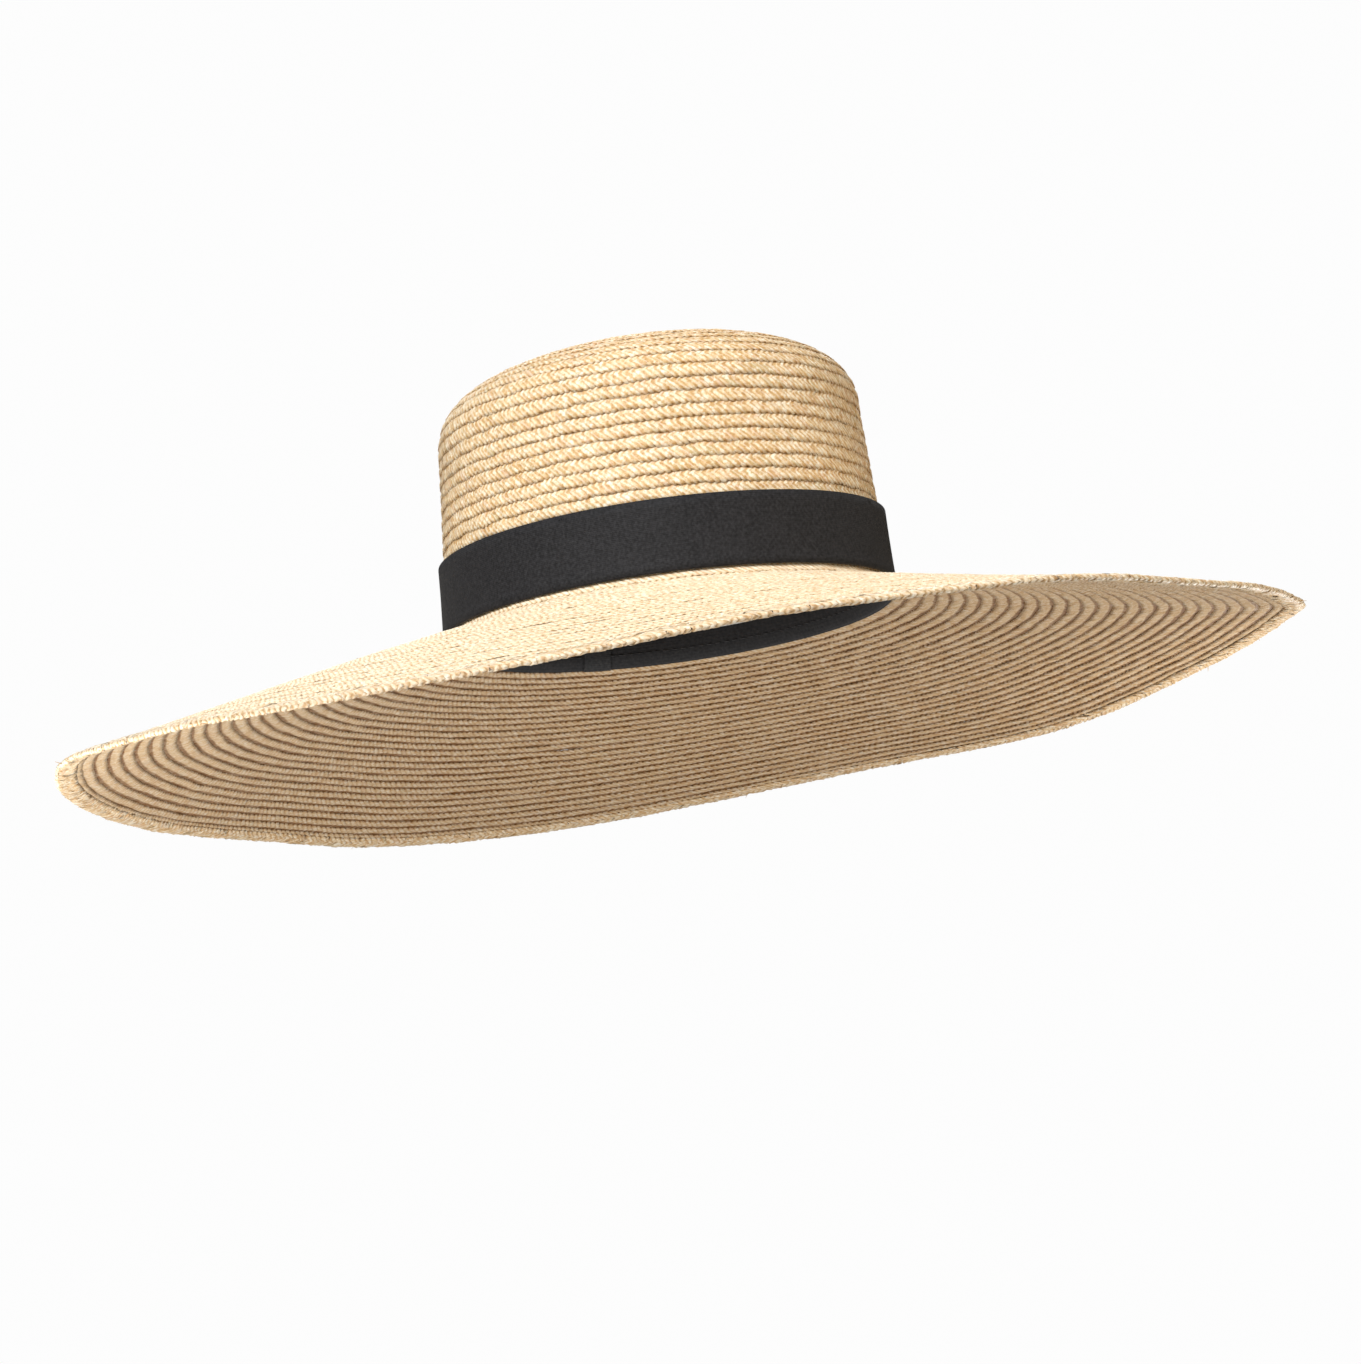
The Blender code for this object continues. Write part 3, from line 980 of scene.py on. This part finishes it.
ribbon = {
    "low": 0.0016,  # how much lower than its node it reaches, down to the brim
    "thick": 0.65,
    "rib": 0.0011,
    "ribSwell": 0.14,
    "flare": 0.7,
    "selvedge": 0.08,
    "lift": 0.00150,
    "lap": 0.018,  # from the centre back to each end, as a share of a turn
    "lapLift": 0.0009,
    "jitter": 0.00002,
    "flat": (0.028, 0.588),
}
ribbon["height"] = ribbonHigh.z - ribbonLow.z + ribbon["low"]
ribbonRise = (ribbonLow.z + ribbonHigh.z) / 2 - hat["foot"] - ribbon["low"] / 2
ribbonMiddle = lengthAt["foot"] - ribbonRise
ribbonSettings = {
    "First Length": ribbonMiddle,
    "First Turn": plait["start"] - ribbon["lap"],
    "Last Turn": 1 + plait["start"] + ribbon["lap"],
    "Stitch": ribbon["rib"],
    "Cuts": 2.0,
    "Lift": ribbon["lift"],
    "Lift per Turn": ribbon["lapLift"],
    "Jitter": ribbon["jitter"],
}
layBand("hatRibbon", "hat_ribbon", ribbon, ribbonSettings, "ribbonCloth")

keeper = {
    "height": ribbon["height"] + 0.0014,
    "thick": 0.6,
    "ribSwell": 0.12,
    "flare": 0.5,
    "selvedge": 0.1,
    "halfTurn": 0.017,
    "lift": 0.0034,
    "flat": (0.0295, 0.019),
}
keeperSettings = {
    **ribbonSettings,
    "First Turn": plait["start"] - keeper["halfTurn"],
    "Last Turn": plait["start"] + keeper["halfTurn"],
    "Lift": keeper["lift"],
    "Lift per Turn": 0.0,
}
layBand("ribbonKeeper", "ribbon_keeper", keeper, keeperSettings, "ribbonCloth")

# the sweatband and what is sewn to it

band = {
    "height": bandHigh.z - bandLow.z,
    "thick": 0.75,
    "ribSwell": 0.07,
    "selvedge": 0.1,
    "weave": 0.0016,
    "lift": -0.00165,
    "gap": 0.0012,  # from each end to the centre back, as a share of a turn
    "jitter": 0.00004,
    "flat": (0.033, 0.569),
}
bandMiddle = lengthAt["foot"] - ((bandLow.z + bandHigh.z) / 2 - hat["foot"])
bandSettings = {
    "First Length": bandMiddle,
    "First Turn": plait["start"] + band["gap"],
    "Last Turn": 1 + plait["start"] - band["gap"],
    "Stitch": band["weave"],
    "Cuts": 2.0,
    "Lift": band["lift"],
    "Jitter": band["jitter"],
}
layBand("innerBand", "sweatband", band, bandSettings, "bandCloth")

join = {
    "height": band["height"],
    "thick": 0.4,
    "ribSwell": 0.05,
    "halfTurn": 0.0106,
    "lift": -0.0008,
    "flat": (0.033, 0.0108),
}
joinSettings = {
    **bandSettings,
    "First Turn": plait["start"] - join["halfTurn"],
    "Last Turn": plait["start"] + join["halfTurn"],
    "Lift": band["lift"] + join["lift"],
}
layBand("bandJoin", "sweatband_join", join, joinSettings, "tapeCloth")

label = {
    "height": 0.012,
    "thick": 0.4,
    "ribSwell": 0.03,
    "weave": 0.0008,
    "lift": -0.0008,
    "flat": (0.012, 0.0175),
}
labelSettings = {
    **bandSettings,
    "First Turn": 8 / 64,
    "Last Turn": 10 / 64,
    "Lift": band["lift"] + label["lift"],
    "Stitch": label["weave"],
}
layBand("sizeLabel", "size_label", label, labelSettings, "labelCloth")


# single stitches, and loose straw ends

def makeStitchTree():
    # short rounded stitches, end to end along a line laid on the hat
    inputs = {
        "Geometry": "Geometry",
        "Guide": "Object",
        "Length": 0.0,
        "First Turn": 0.0,
        "Last Turn": 1.0,
        "Lift": 0.0,
        "Spacing": 0.004,
        "Stitch Length": 0.003,
        "Thread": 0.0003,
        "Slant": 0.0,
        "Material": "Material",
    }
    bench, given, result = newGroup("sewStitches", inputs, {"Geometry": "Geometry"})
    line = plainLine(bench, 400)
    factor = bench.add("GeometryNodeSplineParameter", {}, {}, "Factor")
    turn = given["First Turn"] + factor * (given["Last Turn"] - given["First Turn"])
    line = moveTo(bench, line, onSurface(bench, given["Guide"], given["Length"], turn, given["Lift"]))
    line = evenPoints(bench, line, given["Spacing"])
    values = {"Segments": 6, "Rings": 6, "Radius": 1.0}
    ball = bench.add("GeometryNodeMeshUVSphere", {}, values)
    thread = given["Thread"]
    size = bench.vector(thread, thread, given["Stitch Length"] / 2)
    ball = bench.add("GeometryNodeTransform", {}, {"Geometry": ball, "Scale": size})
    tangent = bench.add("GeometryNodeInputTangent")
    aim = bench.add("FunctionNodeAlignRotationToVector", {"axis": "Z"}, {"Vector": tangent})
    values = {"Axis": (1, 0, 0), "Angle": given["Slant"]}
    slant = bench.add("FunctionNodeAxisAngleToRotation", {}, values)
    values = {"Rotation": aim, "Rotate By": slant}
    aim = bench.add("FunctionNodeRotateRotation", {"rotation_space": "LOCAL"}, values)
    values = {"Points": line, "Instance": ball, "Rotation": aim}
    row = bench.add("GeometryNodeInstanceOnPoints", {}, values)
    return finishGroup(bench, result, Geometry=realiseAndPaint(bench, row, given["Material"]))


def makeWhiskerTree():
    # loose straw ends that stand out of a course at odd angles
    inputs = {
        "Geometry": "Geometry",
        "Guide": "Object",
        "First Length": 0.0,
        "Last Length": 0.0,
        "Count": 100,
        "Lift": 0.0,
        "Shortest": 0.001,
        "Longest": 0.004,
        "Straw": 0.0002,
        "Seed": 1,
        "Material": "Material",
    }
    bench, given, result = newGroup("looseEnds", inputs, {"Geometry": "Geometry"})
    points = bench.add("GeometryNodePoints", {}, {"Count": given["Count"], "Radius": 0.0001})
    turn = randomBetween(bench, 0.0, 1.0, given["Seed"])
    share = randomBetween(bench, 0.0, 1.0, given["Seed"] + 1)
    length = given["First Length"] + (given["Last Length"] - given["First Length"]) * share
    spot = onSurface(bench, given["Guide"], length, turn, given["Lift"])
    ahead = onSurface(bench, given["Guide"], length + 0.001, turn + 0.0012, given["Lift"])
    lead = bench.vectorMaths("NORMALIZE", bench.vectorMaths("SUBTRACT", ahead, spot))
    stray = randomBetween(bench, (-0.8, -0.8, -0.6), (0.8, 0.8, 0.5), given["Seed"] + 2)
    lead = bench.vectorMaths("ADD", lead, stray)
    points = store(bench, points, "lead", lead, "FLOAT_VECTOR")
    points = moveTo(bench, points, spot)
    longShare = randomBetween(bench, 0.0, 1.0, given["Seed"] + 3)
    spread = (given["Longest"] - given["Shortest"]) * longShare * longShare
    size = bench.vector(given["Straw"], given["Straw"] * 0.5, given["Shortest"] + spread)
    values = {"Vertices": 4, "Side Segments": 2, "Radius Top": 0.35, "Radius Bottom": 1.0, "Depth": 1.0}
    whisker = bench.add("GeometryNodeMeshCone", {"fill_type": "NGON"}, values, "Mesh")
    lead = named(bench, "lead", "FLOAT_VECTOR")
    aim = bench.add("FunctionNodeAlignRotationToVector", {"axis": "Z"}, {"Vector": lead})
    values = {"Points": points, "Instance": whisker, "Rotation": aim, "Scale": size}
    loose = bench.add("GeometryNodeInstanceOnPoints", {}, values)
    return finishGroup(bench, result, Geometry=realiseAndPaint(bench, loose, given["Material"]))


stitchTree = makeStitchTree()
whiskerTree = makeWhiskerTree()


def addRow(name, node, tree, settings):
    addPiece(runTree(name, tree, {"Guide": meridianGuide, **settings}), node)


bandStitches = {
    "Length": lengthAt["foot"] - 0.0035,
    "First Turn": 0.0,
    "Last Turn": 1.0,
    "Lift": band["lift"] - 0.0006,
    "Spacing": 0.0036,
    "Stitch Length": 0.0026,
    "Thread": 0.00028,
    "Material": cloths["threadBlack"],
}
addRow("bandStitches", "sweatband_thread", stitchTree, bandStitches)

tack = {
    "aboveEdge": 0.0012,
    "halfTurn": 0.0025,
    "proud": 0.0011,
    "turns": {"left": 8 / 64, "back": 24 / 64, "right": 40 / 64, "front": 56 / 64},
}


def ribbonLift(turn):
    # the ribbon climbs slowly on its way round, to lie over its own start
    past = turn - plait["start"]
    return ribbon["lift"] + ribbon["lapLift"] * (past if past > 0 else past + 1)


for name, turn in tack["turns"].items():
    tackSettings = {
        "Length": ribbonMiddle - ribbon["height"] / 2 + tack["aboveEdge"],
        "First Turn": turn - tack["halfTurn"],
        "Last Turn": turn + tack["halfTurn"],
        "Lift": ribbonLift(turn) + tack["proud"],
        "Spacing": 0.0009,
        "Stitch Length": 0.0024,
        "Thread": 0.00016,
        "Slant": math.radians(90),
        "Material": cloths["threadBlack"],
    }
    addRow("ribbonTack" + name.capitalize(), "ribbon_tack_" + name, stitchTree, tackSettings)

rimWhiskers = {
    "First Length": lengthAt["rim"] - 0.0012,
    "Last Length": lengthAt["rim"] - 0.0002,
    "Count": 70,
    "Lift": -0.0003,
    "Shortest": 0.0010,
    "Longest": 0.0040,
    "Straw": 0.00020,
    "Seed": 11,
    "Material": rimStraw,
}
addRow("rimLooseEnds", "brim_edge", whiskerTree, rimWhiskers)
print("hat laid")

# floor, light and camera

floorLook = {
    "drop": -0.45,
    "size": 8.0,
    "solid": 0.7,  # nearer than this the floor is solid
    "fade": 1.9,  # and by here it is all backdrop
    "colour": (0.70, 0.70, 0.69, 1),
}


def addFloor():
    # a pale floor that runs out into the backdrop, and lets light and sight through from below
    place = (0, 0, floorLook["drop"])
    bpy.ops.mesh.primitive_plane_add(size=floorLook["size"], location=place)
    floor = bpy.context.object
    floor.name = "paleFloor"
    material, bench = newMaterial("paleFloor")
    below = bench.add("ShaderNodeNewGeometry", {}, {}, "Backfacing")
    place = bench.add("ShaderNodeTexCoord", {}, {}, "Object")
    length = {"operation": "LENGTH"}
    away = bench.add("ShaderNodeVectorMath", length, {"Vector": place}, "Value")
    fade = ((away - floorLook["solid"]) / (floorLook["fade"] - floorLook["solid"])).held()
    fade = fade * fade * (3.0 - fade * 2.0)
    values = {"Color": floorLook["colour"], "Roughness": 0.5}
    plain = bench.add("ShaderNodeBsdfDiffuse", {}, values)
    clear = bench.add("ShaderNodeBsdfTransparent")
    values = {0: fade.most(below), 1: plain, 2: clear}
    finishMaterial(bench, bench.add("ShaderNodeMixShader", {}, values))
    floor.data.materials.append(material)
    floor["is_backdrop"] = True


# name, place, what it points at, size, power, colour
lights = [
    ("keyLight", (-1.8, -2.3, 1.9), (0, 0, 0.05), 1.4, 129, (0.99, 0.985, 0.975)),
    ("sideLight", (-2.4, -0.3, 1.5), (0, 0, 0.05), 1.2, 28, (1.0, 0.985, 0.96)),
    ("fillLight", (2.2, -1.7, 1.2), (0, 0, 0.05), 1.6, 44, (1.0, 0.90, 0.77)),
    ("backLight", (1.0, 2.6, 1.3), (0, 0, 0.05), 1.6, 28, (1.0, 1.0, 1.0)),
    ("lowLeftLight", (-0.36, -0.04, -0.20), (-0.21, 0.0, 0.0), 0.14, 1.25, (1.0, 0.99, 0.97)),
    ("lowRightLight", (0.36, 0.0, -0.16), (0.20, 0.0, 0.0), 0.14, 0.80, (1.0, 0.99, 0.97)),
]


def addLight(name, place, target, size, power, colour):
    light = bpy.data.lights.new(name, "AREA")
    light.shape = "SQUARE"
    light.size = size
    light.energy = power
    light.color = colour
    item = bpy.data.objects.new(name, light)
    bpy.context.scene.collection.objects.link(item)
    item.location = place
    aim = Vector(target) - Vector(place)
    item.rotation_euler = aim.to_track_quat("-Z", "Y").to_euler()


sky = {"seen": 0.98, "cast": 0.08}


def addSky():
    # the backdrop is seen nearly white, and casts less light than that on the hat
    world = bpy.data.worlds.new("studio")
    bpy.context.scene.world = world
    world.use_nodes = True
    world.node_tree.nodes.clear()
    bench = Bench(world.node_tree)
    toCamera = bench.add("ShaderNodeLightPath", {}, {}, "Is Camera Ray")
    strength = toCamera * (sky["seen"] - sky["cast"]) + sky["cast"]
    values = {"Color": (1.0, 1.0, 1.0, 1), "Strength": strength}
    background = bench.add("ShaderNodeBackground", {}, values)
    bench.add("ShaderNodeOutputWorld", {}, {"Surface": background})


view = {
    "distance": 2.0,
    "azimuth": -0.3193,
    "elevation": -0.156,
    "roll": -0.1142,
    "focal": 5200.8,  # in steps of the frame, which is 1364 of them high
    "frameHeight": 1364,
    "panX": -11.06,
    "panY": -60.7,
    "sensor": 36,
}


def swung(first, second, angle):
    # two axes turned together, the first towards the second
    turned = first * math.cos(angle) + second * math.sin(angle)
    return turned, second * math.cos(angle) - first * math.sin(angle)


def addCamera():
    level = math.cos(view["elevation"])
    backX = math.sin(view["azimuth"]) * level
    backY = -math.cos(view["azimuth"]) * level
    back = Vector((backX, backY, math.sin(view["elevation"])))
    right = back.cross(Vector((0, 0, -1))).normalized()
    right, up = swung(right, back.cross(right), view["roll"])
    right, ahead = swung(right, -back, math.atan(view["panX"] / view["focal"]))
    ahead, up = swung(ahead, up, math.atan(view["panY"] / view["focal"]))
    data = bpy.data.cameras.new("camera")
    data.sensor_width = view["sensor"]
    data.lens = view["focal"] * view["sensor"] / view["frameHeight"]
    data.clip_start, data.clip_end = 0.05, 50
    camera = bpy.data.objects.new("camera", data)
    bpy.context.scene.collection.objects.link(camera)
    axes = Matrix((right, up, -ahead)).transposed()
    place = back * view["distance"] + Vector((0, 0, hat["foot"]))
    camera.matrix_world = Matrix.Translation(place) @ axes.to_4x4()
    bpy.context.scene.camera = camera


addFloor()
for row in lights:
    addLight(*row)
addSky()
bpy.context.scene.view_settings.view_transform = "Standard"
addCamera()
print("floor, light and camera set")

# the guides and sections have done their work
for item in list(bpy.data.objects):
    if item.name.endswith(("Valley", "Ridge", "Guide")):
        bpy.data.objects.remove(item, do_unlink=True)

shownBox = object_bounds()
boxes = {"cad": [list(corner) for corner in cadBox], "shown": [list(corner) for corner in shownBox]}
for name, box in boxes.items():
    print(name, "box", [round(value, 4) for corner in box for value in corner])
